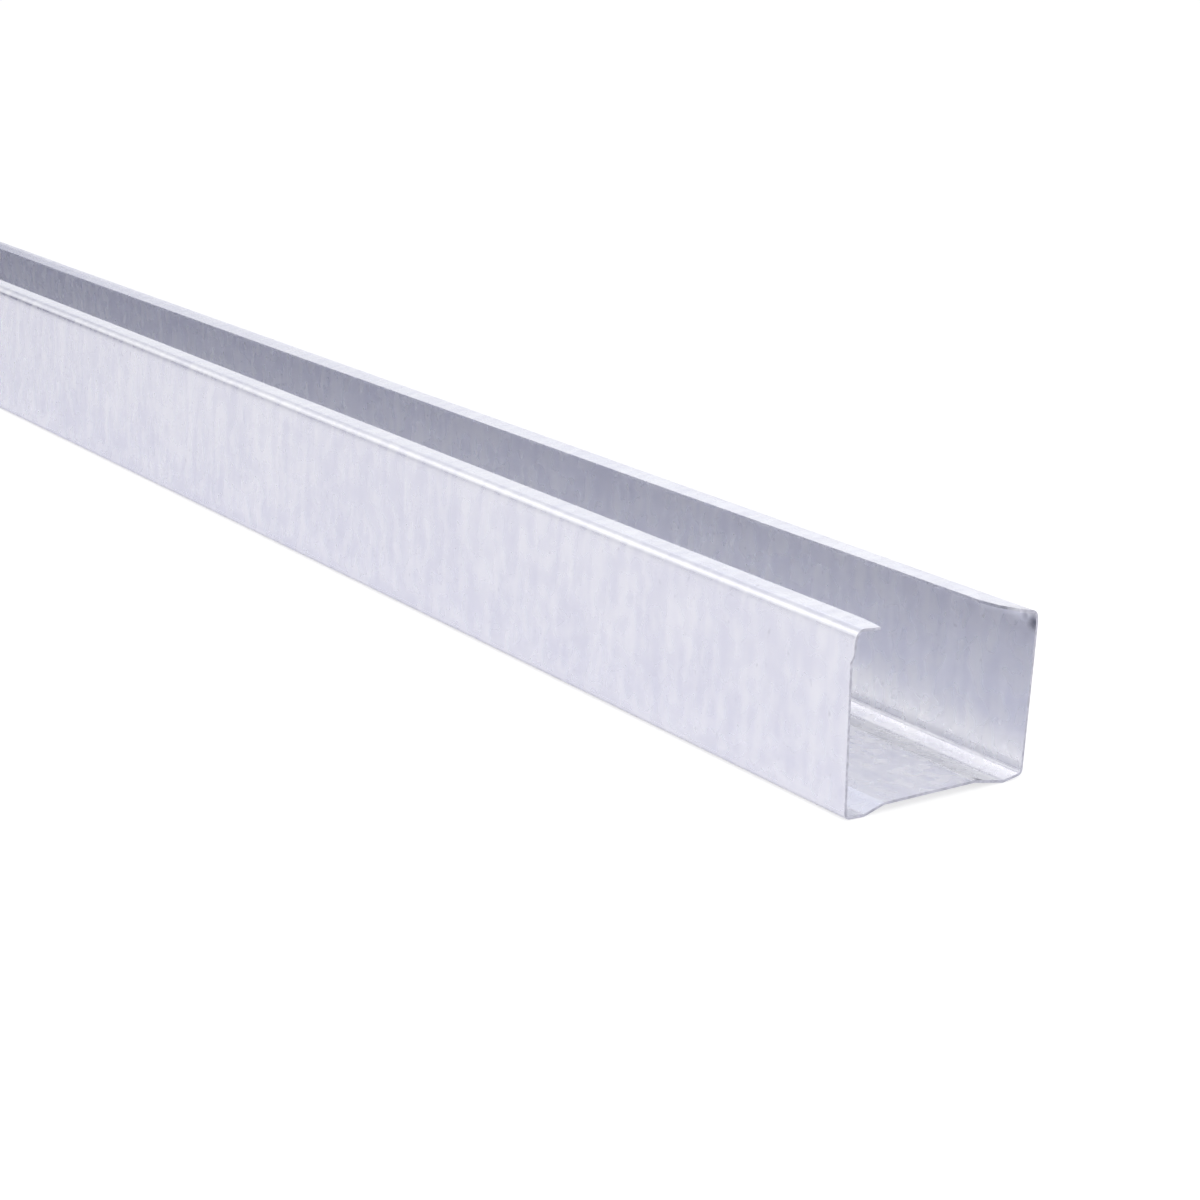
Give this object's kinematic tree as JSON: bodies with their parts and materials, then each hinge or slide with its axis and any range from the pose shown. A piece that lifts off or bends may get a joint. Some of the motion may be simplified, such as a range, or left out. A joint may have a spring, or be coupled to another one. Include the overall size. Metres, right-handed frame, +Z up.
{
  "type": "drywall stud",
  "caption": "Roll-formed galvanised steel C stud with a stepped web, unequal flanges and inward lips, an upright for framing drywall partitions.",
  "frame": {"origin": "on the floor under the middle of the stud, which lies on its web with the open side up", "axes": "+X along the length, +Y across the web from the taller flange to the shorter one, +Z up, out of the open side"},
  "size_m": [2.4, 0.0468, 0.036],
  "materials": {
    "galvanised_sheet": "galvanised, satin"
  },
  "bodies": {
    "root": {"stud": "galvanised_sheet"}
  },
  "joints": []
}
